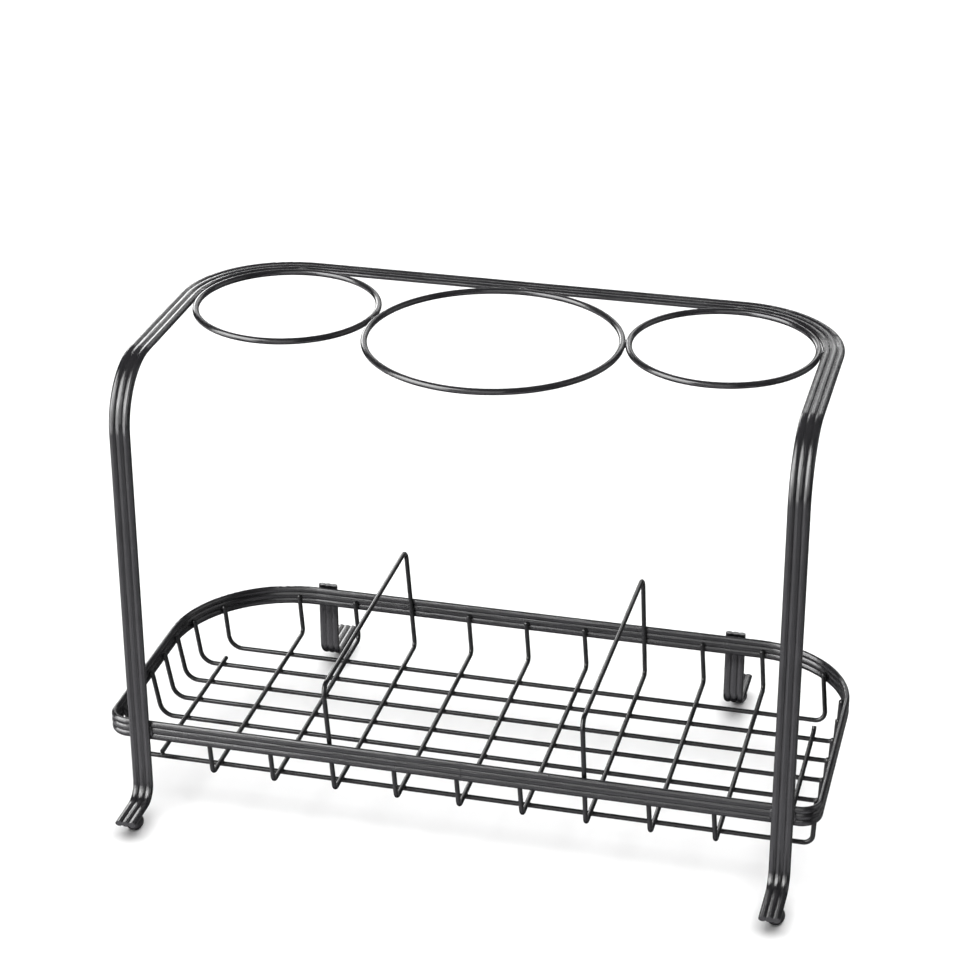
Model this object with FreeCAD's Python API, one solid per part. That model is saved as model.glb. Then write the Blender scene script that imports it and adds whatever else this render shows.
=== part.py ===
"""Free-standing welded wire rack that holds a hair dryer and two slim styling tools.

A shallow wire basket hangs inside a ribbed-strap rim.  One long strap, bent into a hoop, makes both
front legs, two level arms and the bar across the back.  Three round-wire rings hang inside the hoop.
Two short straps are the back legs, and a rubber pad sits under each of the four feet.

Millimetres.  +X is to the right, +Y to the back and +Z up.  The origin is on the ground, in the
middle of the footprint.
"""
import FreeCAD, Part
import math
import os

Vector = FreeCAD.Vector

# Ribbed strap: three ribs wide, used for the hoop, the rim and the back legs
strap_width = 8.8
strap_thickness = 2.4
rib_count = 3
groove_depth = 0.5
strap_edge_round = 0.35

# Round wires
floor_wire = 2.0
ring_wire = 2.6

# Basket
basket_length = 298.8
basket_depth = 131.0
rim_middle_height = 39.5
rim_front_corner = 9.0
rim_back_corner_left = 52.0
rim_back_corner_right = 44.0
floor_height = 19.1

# Long floor wires, front to back
long_wire_count = 7
long_wire_pitch = 15.9
long_wire_offset = -3.5
long_wire_bend_left = 6.5
long_wire_bend_right = 4.0
long_wire_draft_left = [3.6, 3.6, 3.6, 3.6, 3.6, 2.9, 1.9]
long_wire_draft_right = [0.8, 0.8, 0.8, 0.8, 0.8, 0.8, -2.6]
long_wire_set_back_right = [0, 0, 0, 0, 0, 0, 5.0]

# Cross wires, left to right; two of them are taller loops that divide the basket
cross_wire_count = 11
cross_wire_pitch = 26.5
cross_wire_offset = 1.8
cross_wire_bend = 2.6
cross_wire_lean = 1.3
divider_places = {"divider_left": 3, "divider_right": 7}
divider_lean = {"divider_left": 3.6, "divider_right": 2.0}
divider_height = 69.2
divider_bend = 4.5
end_wire_overhang = 2.8
end_wire_turn_up = 1.7

# Hoop: front legs, arms and back bar in one strap
hoop_middle = 0.4
leg_spacing = 268.5
arm_height = 201.6
arm_bend = 26.0
bar_set_in = 6.1
hoop_corner = 42.0

# Feet
foot_strap_height = 7.8
foot_bend = 7.0
front_foot_reach_left = 23.2
front_foot_reach_right = 25.8
back_foot_reach = 28.7
back_leg_spacing = 187.0
back_leg_rise = 0.8
pad_radius = 3.85
pad_setback = 10.0
front_right_pad_shift = 1.1

# Rings
side_ring_radius = 37.65

# Worked out from the sizes above
half_length = basket_length / 2
front_foot_reach = max(front_foot_reach_left, front_foot_reach_right)
footprint_depth = front_foot_reach + basket_depth + back_foot_reach
basket_middle = (front_foot_reach - back_foot_reach) / 2
basket_front = basket_middle - basket_depth / 2
basket_back = basket_middle + basket_depth / 2
half_wire = floor_wire / 2
half_strap = strap_width / 2
rim_inset = strap_thickness / 2
wire_front = basket_front + strap_thickness + half_wire
wire_back = basket_back - strap_thickness - half_wire
cross_height = floor_height + floor_wire
front_leg_plane = basket_front - strap_thickness / 2
back_leg_plane = basket_back + strap_thickness / 2
bar_middle = basket_back - bar_set_in
left_leg_x = hoop_middle - leg_spacing / 2
right_leg_x = hoop_middle + leg_spacing / 2


def strap_section(centre, across, through):
    """Outline of the strap: one shallow arc for each rib on both faces, and rounded edges."""
    pitch = strap_width / rib_count
    crest = strap_thickness / 2
    groove = crest - groove_depth
    seams = [-half_strap + strap_edge_round]
    seams += [-half_strap + pitch * n for n in range(1, rib_count)]
    seams += [half_strap - strap_edge_round]

    def place(u, v):
        return centre + across * u + through * v

    arcs = []
    for left, right in zip(seams, seams[1:]):
        arcs.append(Part.Arc(place(left, groove), place((left + right) / 2, crest), place(right, groove)))
    arcs.append(Part.Arc(place(seams[-1], groove), place(half_strap, 0), place(seams[-1], -groove)))
    backwards = seams[::-1]
    for right, left in zip(backwards, backwards[1:]):
        arcs.append(Part.Arc(place(right, -groove), place((left + right) / 2, -crest), place(left, -groove)))
    arcs.append(Part.Arc(place(seams[0], -groove), place(-half_strap, 0), place(seams[0], groove)))
    return Part.Wire([arc.toShape() for arc in arcs])


def round_section(centre, direction, radius):
    return Part.Wire([Part.Circle(centre, direction, radius).toShape()])


def bent_path(points, radii, closed=False):
    """Straight runs between the points, with a tangent arc of the given radius at each corner."""
    count = len(points)
    corners = range(count) if closed else range(1, count - 1)
    arcs = {}
    for index, radius in zip(corners, radii):
        corner = points[index]
        arriving = (corner - points[index - 1]).normalize()
        leaving = (points[(index + 1) % count] - corner).normalize()
        half_turn = arriving.getAngle(leaving) / 2
        reach = radius * math.tan(half_turn)
        start = corner - arriving * reach
        end = corner + leaving * reach
        inward = (leaving - arriving).normalize()
        middle = corner + inward * (radius / math.cos(half_turn) - radius)
        arcs[index] = (start, middle, end)

    edges = []
    for index in range(count if closed else count - 1):
        following = (index + 1) % count
        start = arcs[index][2] if index in arcs else points[index]
        end = arcs[following][0] if following in arcs else points[following]
        edges.append(Part.LineSegment(start, end).toShape())
        if following in arcs:
            edges.append(Part.Arc(*arcs[following]).toShape())
    return Part.Wire(edges)


def sweep(path, section):
    return path.makePipeShell([section], True, False)


def bent_wire(points, radii, diameter, closed=False):
    path = bent_path(points, radii, closed)
    first = path.Edges[0]
    start = first.valueAt(first.FirstParameter)
    direction = first.tangentAt(first.FirstParameter)
    return sweep(path, round_section(start, direction, diameter / 2))


def basket_rim():
    """Closed loop of strap standing on edge, tight corners in front and wide ones at the back."""
    left = -half_length + rim_inset
    right = half_length - rim_inset
    front = basket_front + rim_inset
    back = basket_back - rim_inset
    corners = [(left, back), (left, front), (right, front), (right, back)]
    outer_radii = [rim_back_corner_left, rim_front_corner, rim_front_corner, rim_back_corner_right]
    points = [Vector(x, y, rim_middle_height) for x, y in corners]
    path = bent_path(points, [radius - rim_inset for radius in outer_radii], closed=True)
    first = path.Edges[0]
    start = first.valueAt(first.FirstParameter)
    return sweep(path, strap_section(start, Vector(0, 0, 1), Vector(1, 0, 0)))


def front_leg_hoop():
    """One strap: foot, leg, arm, back bar, arm, leg, foot."""

    def foot_to_bar(x, foot_reach):
        return [
            Vector(x, basket_front - foot_reach, foot_strap_height),
            Vector(x, front_leg_plane, foot_strap_height),
            Vector(x, front_leg_plane, arm_height),
            Vector(x, bar_middle, arm_height),
        ]

    left_side = foot_to_bar(left_leg_x, front_foot_reach_left)
    right_side = foot_to_bar(right_leg_x, front_foot_reach_right)
    bends = [foot_bend, arm_bend, hoop_corner, hoop_corner, arm_bend, foot_bend]
    path = bent_path(left_side + right_side[::-1], bends)
    return sweep(path, strap_section(left_side[0], Vector(1, 0, 0), Vector(0, 0, 1)))


def back_leg(side):
    """Short strap welded outside the back rim, bent back into a foot."""
    x = hoop_middle + side * back_leg_spacing / 2
    top = rim_middle_height + half_strap + back_leg_rise
    points = [
        Vector(x, back_leg_plane, top),
        Vector(x, back_leg_plane, foot_strap_height),
        Vector(x, footprint_depth / 2, foot_strap_height),
    ]
    path = bent_path(points, [foot_bend])
    return sweep(path, strap_section(points[0], Vector(1, 0, 0), Vector(0, 1, 0)))


def foot_pad(x, y):
    """Rubber bumper: a bead with a flat bottom and top that fills the space under the foot."""
    half_height = (foot_strap_height - strap_thickness / 2) / 2
    flats = math.degrees(math.asin(half_height / pad_radius))
    return Part.makeSphere(pad_radius, Vector(x, y, half_height), Vector(0, 0, 1), -flats, flats, 360)


def rim_reach(y, side):
    """Distance from the middle to a long wire's end where it stands against the rim's inner face."""
    corner_radius = rim_back_corner_right if side > 0 else rim_back_corner_left
    straight = half_length - strap_thickness - half_wire
    corner_y = basket_back - corner_radius
    if y <= corner_y:
        return straight
    bend = corner_radius - strap_thickness - half_wire
    return half_length - corner_radius + math.sqrt(bend ** 2 - (y - corner_y) ** 2)


def long_wire(index):
    """Floor wire turned up at both ends; the rearmost one's right end leans back to the rim's curve."""
    y = long_wire_y(index)
    right_y = y + long_wire_set_back_right[index]
    left = -rim_reach(y, -1)
    right = rim_reach(right_y, 1)
    points = [
        Vector(left, y, rim_middle_height),
        Vector(left + long_wire_draft_left[index], y, floor_height),
        Vector(right - long_wire_draft_right[index], y, floor_height),
        Vector(right, right_y, rim_middle_height),
    ]
    return bent_wire(points, [long_wire_bend_left, long_wire_bend_right], floor_wire)


def cross_wire(x):
    """Floor wire turned up at both ends; the ends lean a little to the left."""
    points = [
        Vector(x - cross_wire_lean, wire_front, rim_middle_height),
        Vector(x, wire_front, cross_height),
        Vector(x, wire_back, cross_height),
        Vector(x - cross_wire_lean, wire_back, rim_middle_height),
    ]
    return bent_wire(points, [cross_wire_bend, cross_wire_bend], floor_wire)


def end_wire(x, turn_up):
    """Short wire outside the last full cross wire; it lies on the long wires and stops short."""
    front = long_wire_y(0)
    back = long_wire_y(long_wire_count - 2) + end_wire_overhang
    points = [Vector(x, front, cross_height), Vector(x, back, cross_height)]
    if turn_up:
        points.append(Vector(x, back + end_wire_turn_up, cross_height + end_wire_turn_up))
        return bent_wire(points, [cross_wire_bend], floor_wire)
    return bent_wire(points, [], floor_wire)


def divider(x, lean):
    """Cross wire carried on into a tall closed loop that leans a little to the left."""
    points = [
        Vector(x, wire_back, cross_height),
        Vector(x, wire_front, cross_height),
        Vector(x - lean, wire_front, divider_height),
        Vector(x - lean, wire_back, divider_height),
    ]
    bends = [cross_wire_bend, cross_wire_bend, divider_bend, divider_bend]
    return bent_wire(points, bends, floor_wire, closed=True)


def ring(x, radius):
    """Ring in the plane of the arms, touching the inner edge of the back bar."""
    y = bar_middle - half_strap - ring_wire / 2 - radius
    return Part.makeTorus(radius, ring_wire / 2, Vector(hoop_middle + x, y, arm_height), Vector(0, 0, 1))


def long_wire_y(index):
    return basket_middle + long_wire_offset + (index - (long_wire_count - 1) / 2) * long_wire_pitch


def cross_wire_x(index):
    return cross_wire_offset + (index - (cross_wire_count - 1) / 2) * cross_wire_pitch


# The side rings touch the arms; the middle ring touches both side rings and the back bar
side_ring_x = leg_spacing / 2 - half_strap - ring_wire / 2 - side_ring_radius
ring_gap = 2 * side_ring_radius + ring_wire
center_ring_radius = (side_ring_x ** 2 / ring_gap - ring_wire) / 2

parts = {
    "basket_rim": basket_rim(),
    "front_leg_hoop": front_leg_hoop(),
    "back_leg_left": back_leg(-1),
    "back_leg_right": back_leg(1),
    "ring_left": ring(-side_ring_x, side_ring_radius),
    "ring_center": ring(0, center_ring_radius),
    "ring_right": ring(side_ring_x, side_ring_radius),
}

for index in range(long_wire_count):
    parts[f"long_wire_{index + 1}"] = long_wire(index)

parts["end_wire_left"] = end_wire(cross_wire_x(0), turn_up=False)
parts["end_wire_right"] = end_wire(cross_wire_x(cross_wire_count - 1), turn_up=True)
for index in range(1, cross_wire_count - 1):
    if index not in divider_places.values():
        parts[f"cross_wire_{index}"] = cross_wire(cross_wire_x(index))
for name, index in divider_places.items():
    parts[name] = divider(cross_wire_x(index), divider_lean[name])

pad_places = {
    "front_left": (left_leg_x, basket_front - front_foot_reach_left + pad_setback),
    "front_right": (right_leg_x + front_right_pad_shift, basket_front - front_foot_reach_right + pad_setback),
    "back_left": (hoop_middle - back_leg_spacing / 2, basket_back + back_foot_reach - pad_setback),
    "back_right": (hoop_middle + back_leg_spacing / 2, basket_back + back_foot_reach - pad_setback),
}
for name, (x, y) in pad_places.items():
    parts[f"foot_pad_{name}"] = foot_pad(x, y)

os.makedirs("parts", exist_ok=True)
for name, shape in parts.items():
    shape.exportStep(f"parts/{name}.step")
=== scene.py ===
"""Looks of the hair dryer holder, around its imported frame.

Coat and rubber materials for the frame's pieces, the weld beads that join them, and the floor,
lights and camera.
"""
import math
import random

import bmesh
import bpy
from mathutils import Matrix, Vector, noise


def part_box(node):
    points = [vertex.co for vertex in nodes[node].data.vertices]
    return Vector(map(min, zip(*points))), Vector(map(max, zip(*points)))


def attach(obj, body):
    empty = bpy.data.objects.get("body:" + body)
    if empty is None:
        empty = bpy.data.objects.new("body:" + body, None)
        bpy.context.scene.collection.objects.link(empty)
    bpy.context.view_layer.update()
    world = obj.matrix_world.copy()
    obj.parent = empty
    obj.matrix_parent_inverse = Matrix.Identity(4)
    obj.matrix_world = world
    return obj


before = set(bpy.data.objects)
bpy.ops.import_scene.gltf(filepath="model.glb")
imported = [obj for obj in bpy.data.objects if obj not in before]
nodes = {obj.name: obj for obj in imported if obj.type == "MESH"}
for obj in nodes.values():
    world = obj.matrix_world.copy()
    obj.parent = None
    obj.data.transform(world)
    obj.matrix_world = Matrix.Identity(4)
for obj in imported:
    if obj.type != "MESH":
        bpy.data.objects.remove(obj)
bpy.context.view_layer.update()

mm = 0.001

LONG_WIRES = [f"long_wire_{n}" for n in range(1, 8)]
CROSS_WIRES = [f"cross_wire_{n}" for n in (1, 2, 4, 5, 6, 8, 9)]
END_WIRES = ["end_wire_left", "end_wire_right"]
DIVIDERS = ["divider_left", "divider_right"]
RINGS = ["ring_left", "ring_center", "ring_right"]
BACK_LEGS = ["back_leg_left", "back_leg_right"]
PADS = [f"foot_pad_{row}_{side}" for row in ("front", "back") for side in ("left", "right")]
WIRE_RADIUS = 1.0 * mm
STRAP_HALF_WIDTH = 4.4 * mm
HOOP_CORNER = 42.0 * mm

STRAP_SHADES = (0.010, 0.010, 0.0110, 1), (0.019, 0.0185, 0.0205, 1)
WIRE_SHADES = (0.004, 0.004, 0.0042, 1), (0.010, 0.010, 0.0105, 1)
RUBBER_SHADES = (0.012, 0.012, 0.013, 1), (0.03, 0.03, 0.032, 1)
FLOOR_SHADES = (0.90, 0.90, 0.90, 1), (0.92, 0.92, 0.92, 1)
COAT_ROUGHNESS = 0.18, 0.27
RUBBER_ROUGHNESS = 0.34, 0.5
STREAK_STRETCH = 0.03    # how quickly a streak changes along a strap, against across it


# ---- materials ----

def new_material(name):
    material = bpy.data.materials.new(name)
    material.use_nodes = True
    tree = material.node_tree
    return material, tree, tree.nodes["Principled BSDF"]


def add_noise(tree, coordinates, scale, detail=2.0, roughness=0.5):
    node = tree.nodes.new("ShaderNodeTexNoise")
    node.inputs["Scale"].default_value = scale
    node.inputs["Detail"].default_value = detail
    node.inputs["Roughness"].default_value = roughness
    tree.links.new(coordinates, node.inputs["Vector"])
    return node.outputs["Fac"]


def add_range(tree, value, low=0.0, high=1.0, from_low=0.3, from_high=0.7):
    """Value stretched from one range to another and clamped; 0.3 to 0.7 is where a noise mostly lies."""
    node = tree.nodes.new("ShaderNodeMapRange")
    node.inputs["From Min"].default_value = from_low
    node.inputs["From Max"].default_value = from_high
    node.inputs["To Min"].default_value = low
    node.inputs["To Max"].default_value = high
    tree.links.new(value, node.inputs["Value"])
    return node.outputs["Result"]


def add_mix(tree, factor, first, second):
    """Colour between two others."""
    node = tree.nodes.new("ShaderNodeMix")
    node.data_type = "RGBA"
    node.inputs["A"].default_value = first
    node.inputs["B"].default_value = second
    tree.links.new(factor, node.inputs["Factor"])
    return node.outputs["Result"]


def add_bump(tree, height, distance, strength, below=None):
    """Normal of a bumpy surface; below is the normal of a coarser bump that this one lies on."""
    node = tree.nodes.new("ShaderNodeBump")
    node.inputs["Distance"].default_value = distance
    node.inputs["Strength"].default_value = strength
    tree.links.new(height, node.inputs["Height"])
    if below:
        tree.links.new(below, node.inputs["Normal"])
    return node.outputs["Normal"]


def add_math(tree, operation, first, second=0.0):
    """Result of a maths node; each of its two inputs is a number or another node's output."""
    node = tree.nodes.new("ShaderNodeMath")
    node.operation = operation
    for socket, value in zip(node.inputs, (first, second)):
        if isinstance(value, float):
            socket.default_value = value
        else:
            tree.links.new(value, socket)
    return node.outputs[0]


def lengthwise(tree, coordinates, across):
    """Texture coordinates that change quickly across a strap and slowly along it."""
    node = tree.nodes.new("ShaderNodeVectorMath")
    node.operation = "MULTIPLY_ADD"
    node.inputs[1].default_value = (STREAK_STRETCH, STREAK_STRETCH, STREAK_STRETCH)
    tree.links.new(coordinates, node.inputs[0])
    tree.links.new(across, node.inputs[2])
    return node.outputs["Vector"]


def across_hoop(tree, coordinates):
    """Distance over the strap's width all round the hoop: legs and arms, rounded corners, back bar."""
    low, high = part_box("front_leg_hoop")
    straight_half = (high.x - low.x) / 2 - STRAP_HALF_WIDTH - HOOP_CORNER
    corner_start = high.y - STRAP_HALF_WIDTH - HOOP_CORNER
    split = tree.nodes.new("ShaderNodeSeparateXYZ")
    tree.links.new(coordinates, split.inputs[0])
    off_middle = add_math(tree, "SUBTRACT", split.outputs["X"], (low.x + high.x) / 2)
    sideways = add_math(tree, "ABSOLUTE", off_middle)
    past_side = add_math(tree, "MAXIMUM", add_math(tree, "SUBTRACT", sideways, straight_half))
    past_back = add_math(tree, "MAXIMUM", add_math(tree, "SUBTRACT", split.outputs["Y"], corner_start))
    side_squared = add_math(tree, "POWER", past_side, 2.0)
    back_squared = add_math(tree, "POWER", past_back, 2.0)
    return add_math(tree, "SQRT", add_math(tree, "ADD", side_squared, back_squared))


def across_axis(axis):
    """Distance over the width of a strap whose width lies along one axis everywhere."""
    def across(tree, coordinates):
        split = tree.nodes.new("ShaderNodeSeparateXYZ")
        tree.links.new(coordinates, split.inputs[0])
        return split.outputs[axis]
    return across


def powder_coat(name, dark, light, across=None, ior=1.5, coat=0.3):
    """Glossy black coat with a drifting tone, uneven gloss, orange peel and fine grain.

    A strap's coat also has coarse and fine streaks along it; across measures over the strap's width.
    """
    material, tree, shader = new_material(name)
    coordinates = tree.nodes.new("ShaderNodeTexCoord").outputs["Object"]
    drift = add_noise(tree, coordinates, scale=70.0, detail=4.0, roughness=0.6)
    color = add_mix(tree, add_range(tree, drift), dark, light)
    patches = add_noise(tree, coordinates, scale=210.0, detail=4.0, roughness=0.6)
    gloss = add_range(tree, patches, *COAT_ROUGHNESS)
    orange_peel = add_noise(tree, coordinates, scale=850.0, detail=1.5)
    surface = add_bump(tree, orange_peel, distance=0.04 * mm, strength=0.25)
    if across:
        along = lengthwise(tree, coordinates, across(tree, coordinates))
        coarse_streaks = add_noise(tree, along, scale=1000.0, detail=1.0)
        surface = add_bump(tree, coarse_streaks, distance=0.28 * mm, strength=0.7, below=surface)
        fine_streaks = add_noise(tree, along, scale=3600.0, detail=1.0)
        surface = add_bump(tree, fine_streaks, distance=0.09 * mm, strength=0.8, below=surface)
    grain = add_noise(tree, coordinates, scale=4200.0)
    surface = add_bump(tree, grain, distance=0.012 * mm, strength=0.3, below=surface)
    tree.links.new(color, shader.inputs["Base Color"])
    tree.links.new(gloss, shader.inputs["Roughness"])
    tree.links.new(surface, shader.inputs["Normal"])
    shader.inputs["IOR"].default_value = ior
    shader.inputs["Coat Weight"].default_value = coat
    shader.inputs["Coat Roughness"].default_value = 0.08
    return material


def bumper_rubber(name):
    """Moulded black rubber: dull with a faint polish, fine pores and a little grey dust."""
    material, tree, shader = new_material(name)
    coordinates = tree.nodes.new("ShaderNodeTexCoord").outputs["Object"]
    specks = add_noise(tree, coordinates, scale=420.0, detail=5.0, roughness=0.65)
    dust = add_range(tree, specks, from_low=0.45, from_high=0.8)
    color = add_mix(tree, dust, *RUBBER_SHADES)
    polish = add_noise(tree, coordinates, scale=900.0, detail=3.0)
    gloss = add_range(tree, polish, *RUBBER_ROUGHNESS)
    pores = add_noise(tree, coordinates, scale=2600.0, detail=3.0)
    surface = add_bump(tree, pores, distance=0.03 * mm, strength=0.5)
    tree.links.new(color, shader.inputs["Base Color"])
    tree.links.new(gloss, shader.inputs["Roughness"])
    tree.links.new(surface, shader.inputs["Normal"])
    return material


def pale_floor(name):
    """Matt white floor with a very faint drift in its tone."""
    material, tree, shader = new_material(name)
    coordinates = tree.nodes.new("ShaderNodeTexCoord").outputs["Object"]
    drift = add_noise(tree, coordinates, scale=3.0)
    color = add_mix(tree, add_range(tree, drift), *FLOOR_SHADES)
    tree.links.new(color, shader.inputs["Base Color"])
    shader.inputs["Roughness"].default_value = 0.9
    shader.inputs["Specular IOR Level"].default_value = 0.1
    return material


hoop_coat = powder_coat("hoop_coat", *STRAP_SHADES, across_hoop)
strap_coat = powder_coat("strap_coat", *STRAP_SHADES, across_axis("X"))
rim_coat = powder_coat("rim_coat", *STRAP_SHADES, across_axis("Z"))
wire_coat = powder_coat("wire_coat", *WIRE_SHADES, ior=1.4, coat=0.2)
ring_coat = powder_coat("ring_coat", *STRAP_SHADES)
pad_rubber = bumper_rubber("pad_rubber")


def dress(names, material):
    """Give the frame's pieces a material in place of their plain one."""
    for name in names:
        nodes[name].material_slots[0].material = material


dress(["front_leg_hoop"], hoop_coat)
dress(BACK_LEGS, strap_coat)
dress(["basket_rim"], rim_coat)
dress(RINGS, ring_coat)
dress(LONG_WIRES + CROSS_WIRES + END_WIRES + DIVIDERS, wire_coat)
dress(PADS, pad_rubber)


# ---- welds ----

BEAD_LUMPS = 0.16         # height of a bead's lumps, against its radii
RING_BEAD_LUMPS = 0.4
LUMP_RATE = 1.4           # noise cells for each radius of a bead
SEED_REACH = 50           # a bead's lumps are read this far from the noise's origin, or nearer
END_FACE_RISE = 0.7 * mm  # more than any long wire's end face rises
NUB_INSET = 0.7 * mm      # from a cross wire's outer side to the middle of its nub
NUB_DROP = 0.5 * mm       # from a cross wire's top to the middle of its nub
SEAM_PLACE = 3.2 * mm     # along X, on the rim's front
DROP_PLACE = 39.7 * mm    # along X, on the rim's front
SEAM_DEPTH = 0.25 * mm    # from the rim's front to the middle of the seam's bead


def middle(name):
    low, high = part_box(name)
    return (low + high) / 2


def add_blob(mesh, centre, radii, draw, turn=0.0, lumps=BEAD_LUMPS):
    """One coated weld bead: an ellipsoid with a lumpy surface, turned about Z."""
    made = bmesh.ops.create_icosphere(mesh, subdivisions=3, radius=1.0)
    spin = Matrix.Rotation(turn, 3, "Z")
    seed = Vector([draw.uniform(-SEED_REACH, SEED_REACH) for axis in range(3)])
    for vertex in made["verts"]:
        lump = 1.0 + lumps * noise.noise(vertex.co * LUMP_RATE + seed)
        scaled = Vector([vertex.co[axis] * radii[axis] * lump for axis in range(3)])
        vertex.co = centre + spin @ scaled


def weld_piece(name, spots, material):
    """One object made of weld beads; a spot is (centre, radii), or (centre, radii, turn, lumps)."""
    draw = random.Random(name)
    mesh = bmesh.new()
    for spot in spots:
        add_blob(mesh, spot[0], spot[1], draw, *spot[2:])
    data = bpy.data.meshes.new(name)
    mesh.to_mesh(data)
    mesh.free()
    data.polygons.foreach_set("use_smooth", [True] * len(data.polygons))
    data.materials.append(material)
    piece = bpy.data.objects.new(name, data)
    bpy.context.scene.collection.objects.link(piece)
    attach(piece, "root")


def wire_tip(name, side):
    """Middle of the flat face that ends a long wire, on the left (-1) or the right (1)."""
    points = [vertex.co for vertex in nodes[name].data.vertices if vertex.co.x * side > 0]
    face_bottom = max(point.z for point in points) - END_FACE_RISE
    face = [point for point in points if point.z > face_bottom]
    return sum(face, Vector()) / len(face)


def wire_end_spots():
    """A melted nub where each turned-up wire end meets the rim's inner face."""
    cross_nub = Vector((1.25, 1.15, 1.1)) * mm
    long_nub = Vector((1.15, 1.25, 1.1)) * mm
    spots = []
    for name in CROSS_WIRES:
        low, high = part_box(name)
        x = low.x + WIRE_RADIUS
        for y in (low.y + NUB_INSET, high.y - NUB_INSET):
            spots.append((Vector((x, y, high.z - NUB_DROP)), cross_nub))
    for name in LONG_WIRES:
        for side in (-1, 1):
            towards_rim = Vector((0.2 * side, 0, -0.35)) * mm
            spots.append((wire_tip(name, side) + towards_rim, long_nub))
    return spots


def crossing_spots():
    """Fusion spots where the cross wires, end wires and dividers lie on the long wires."""
    flat_spot = Vector((1.05, 1.05, 0.55)) * mm
    rows = [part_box(name)[0].y + WIRE_RADIUS for name in LONG_WIRES]
    spots = []
    for name in CROSS_WIRES + END_WIRES + DIVIDERS:
        low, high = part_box(name)
        x = high.x - WIRE_RADIUS
        for y in rows:
            if low.y < y < high.y:
                spots.append((Vector((x, y, low.z)), flat_spot))
    return spots


rim_low, rim_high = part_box("basket_rim")
rim_z = (rim_low.z + rim_high.z) / 2


def strap_spots():
    """Short beads down both edges of each leg where it crosses the rim."""
    hoop_low, hoop_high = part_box("front_leg_hoop")
    bead = Vector((0.9, 0.7, 2.6)) * mm
    spots = []
    for side in (hoop_low.x, hoop_high.x):
        inward = 1 if side < 0 else -1
        for x in (side, side + inward * 2 * STRAP_HALF_WIDTH):
            spots.append((Vector((x, rim_low.y, rim_z)), bead))
    for name in BACK_LEGS:
        low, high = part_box(name)
        for x in (low.x, high.x):
            spots.append((Vector((x, rim_high.y, rim_z)), bead))
    return spots


def ring_spots():
    """Beads where each ring meets the back bar, an arm or the centre ring.

    slips says how far a bead sits from the touching point, along the back bar and along the arm.
    """
    bar_bead = Vector((3.0, 2.2, 1.05)) * mm
    arm_bead = Vector((2.2, 3.0, 1.05)) * mm
    ring_bead = Vector((1.2, 3.0, 1.1)) * mm
    centre = middle("ring_center")
    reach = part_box("ring_center")[1].x - centre.x
    slips = {"ring_left": (-6.2 * mm, 5.8 * mm), "ring_center": (0, 0), "ring_right": (0, 2.6 * mm)}
    spots = []
    for name in RINGS:
        low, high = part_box(name)
        ring = middle(name)
        bar_slip, arm_slip = slips[name]
        at_bar = Vector((ring.x + bar_slip, high.y + 0.3 * mm, ring.z))
        spots.append((at_bar, bar_bead, 0.0, RING_BEAD_LUMPS))
        if name != "ring_center":
            side = low.x if ring.x < centre.x else high.x
            at_arm = Vector((side, ring.y + arm_slip, ring.z))
            spots.append((at_arm, arm_bead, 0.0, RING_BEAD_LUMPS))
            to_ring = (ring - centre).normalized()
            spots.append((centre + to_ring * reach, ring_bead, math.atan2(to_ring.y, to_ring.x)))
    return spots


def rim_spots():
    """The rim's upright butt seam, near the middle of its front, and a stray drop on the top edge."""
    front = rim_low.y + SEAM_DEPTH
    seam_bead = Vector((0.45, 0.42, 4.2)) * mm
    drop_bead = Vector((0.7, 0.6, 0.6)) * mm
    at_seam = Vector((SEAM_PLACE, front, rim_z))
    at_drop = Vector((DROP_PLACE, front + 0.5 * mm, rim_high.z - 0.7 * mm))
    return [(at_seam, seam_bead), (at_drop, drop_bead)]


weld_piece("wire_end_welds", wire_end_spots(), wire_coat)
weld_piece("floor_crossing_welds", crossing_spots(), wire_coat)
weld_piece("leg_welds", strap_spots(), strap_coat)
weld_piece("rim_welds", rim_spots(), rim_coat)
weld_piece("ring_welds", ring_spots(), ring_coat)


# ---- floor, lights and camera ----

WHITE = (1, 1, 1)
VIOLET = (0.96, 0.945, 1.0)
WATTS_PER_BRIGHTNESS = 4                # for each square metre of a light
CARD_TARGET = (0, 0, 0.1)
FLOOR_HALF_SIZE = 12.0
DIM_BELOW, BRIGHT_ABOVE = 0.30, 0.70    # sines of the heights between which the room brightens


def add_floor():
    """Floor that neither shows in the coat nor blocks the light of the cards that stand below it."""
    mesh = bmesh.new()
    bmesh.ops.create_grid(mesh, x_segments=1, y_segments=1, size=FLOOR_HALF_SIZE)
    data = bpy.data.meshes.new("floor")
    mesh.to_mesh(data)
    mesh.free()
    data.materials.append(pale_floor("floor_pale"))
    floor = bpy.data.objects.new("floor", data)
    bpy.context.scene.collection.objects.link(floor)
    floor.visible_glossy = False
    floor.visible_shadow = False


def add_light(name, place, target, width, height, brightness, color=WHITE):
    """Rectangular light that the camera doesn't see, facing its target."""
    data = bpy.data.lights.new(name, "AREA")
    data.shape = "RECTANGLE"
    data.size = width
    data.size_y = height
    data.color = color
    data.energy = brightness * width * height * WATTS_PER_BRIGHTNESS
    light = bpy.data.objects.new(name, data)
    light.location = place
    light.rotation_mode = "QUATERNION"
    light.rotation_quaternion = (Vector(target) - Vector(place)).to_track_quat("-Z", "Y")
    light.visible_camera = False
    bpy.context.scene.collection.objects.link(light)
    return light


def add_card(name, place, width, height, brightness, color=WHITE):
    """Soft panel aimed at the rack that shows only in reflections."""
    card = add_light(name, place, CARD_TARGET, width, height, brightness, color)
    card.visible_diffuse = False


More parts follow.
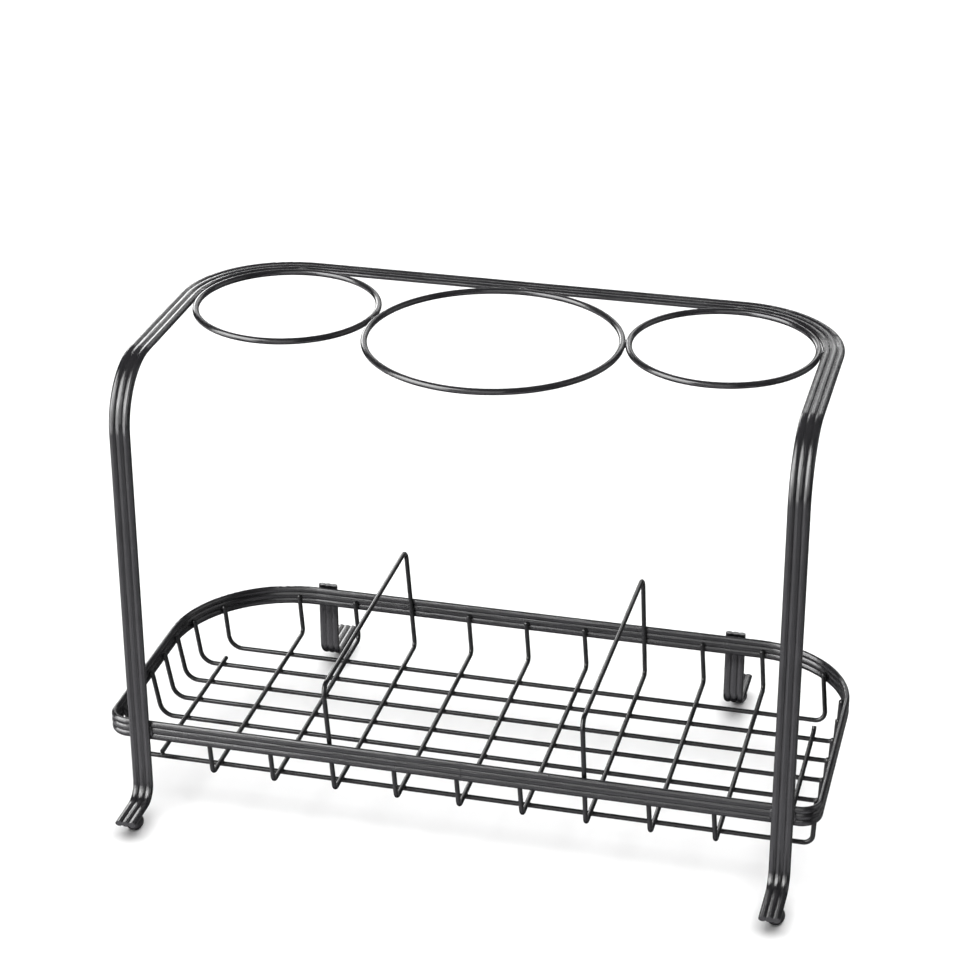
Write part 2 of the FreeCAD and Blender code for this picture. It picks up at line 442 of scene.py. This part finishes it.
def add_world(low, high):
    """Room that is dim at the horizon and below it, and bright overhead."""
    world = bpy.data.worlds.new("studio")
    world.use_nodes = True
    tree = world.node_tree
    direction = tree.nodes.new("ShaderNodeTexCoord").outputs["Generated"]
    split = tree.nodes.new("ShaderNodeSeparateXYZ")
    tree.links.new(direction, split.inputs[0])
    brightness = add_range(tree, split.outputs["Z"], low, high, DIM_BELOW, BRIGHT_ABOVE)
    tree.links.new(brightness, tree.nodes["Background"].inputs["Strength"])
    bpy.context.scene.world = world


def add_camera(place, yaw, pitch, roll, lens):
    """yaw turns left from +Y, pitch looks down and roll tips the picture, in radians."""
    forward = Vector((
        -math.sin(yaw) * math.cos(pitch),
        math.cos(yaw) * math.cos(pitch),
        -math.sin(pitch),
    ))
    level = Vector((math.cos(yaw), math.sin(yaw), 0))
    upright = level.cross(forward)
    right = math.cos(roll) * level + math.sin(roll) * upright
    up = -math.sin(roll) * level + math.cos(roll) * upright
    data = bpy.data.cameras.new("camera")
    data.lens = lens
    data.sensor_width = 36.0
    data.clip_start = 0.01
    camera = bpy.data.objects.new("camera", data)
    turn = Matrix((right, up, -forward)).transposed().to_4x4()
    camera.matrix_world = Matrix.Translation(place) @ turn
    bpy.context.scene.collection.objects.link(camera)
    bpy.context.scene.camera = camera


add_floor()
add_world(low=0.03, high=1.1)
overhead = add_light(
    "overhead", place=(0.0, 0.3, 3.6), target=(0, 0.3, 0), width=6.0, height=6.0, brightness=2.5,
)
overhead.visible_glossy = False
# Each card: name, place, width, height, brightness and, if it isn't white, its colour
add_card("card_front_low", (0.1, -1.25, -0.75), 2.6, 1.3, 0.5, VIOLET)
add_card("card_table", (0.1, -0.82, -1.09), 2.4, 1.2, 0.5, VIOLET)
add_card("card_left_low", (-1.35, -0.35, -0.60), 3.0, 0.9, 0.8, VIOLET)
add_card("card_key_left", (-1.19, -0.90, 1.10), 1.74, 1.6, 8.0)
add_card("card_key_lower", (-1.19, -0.90, 0.09), 1.74, 0.75, 4.0)
add_card("card_front", (0.15, -1.9, 0.80), 1.3, 1.7, 1.6)
add_card("card_backdrop", (-0.35, 1.5, 0.79), 1.7, 0.26, 1.6)
add_card("card_back_left", (-0.92, 1.18, 0.38), 0.62, 0.45, 4.5)
add_card("card_back", (-0.3, 2.2, 0.36), 3.0, 0.5, 0.6)
add_card("card_back_low", (0.1, 1.25, -0.70), 3.4, 1.2, 0.12)
add_card("card_back_right", (0.01, 1.45, 0.96), 0.24, 0.34, 2.0)
add_card("card_right", (1.6, 0.3, 0.60), 1.6, 0.9, 0.8)
add_card("card_right_low", (1.5, 0.2, -0.75), 2.4, 1.0, 0.2)
add_camera(place=(0.24204, -0.96587, 0.62354), yaw=0.25044, pitch=0.45274, roll=-0.00341, lens=101.237)
bpy.context.scene.view_settings.view_transform = "Standard"
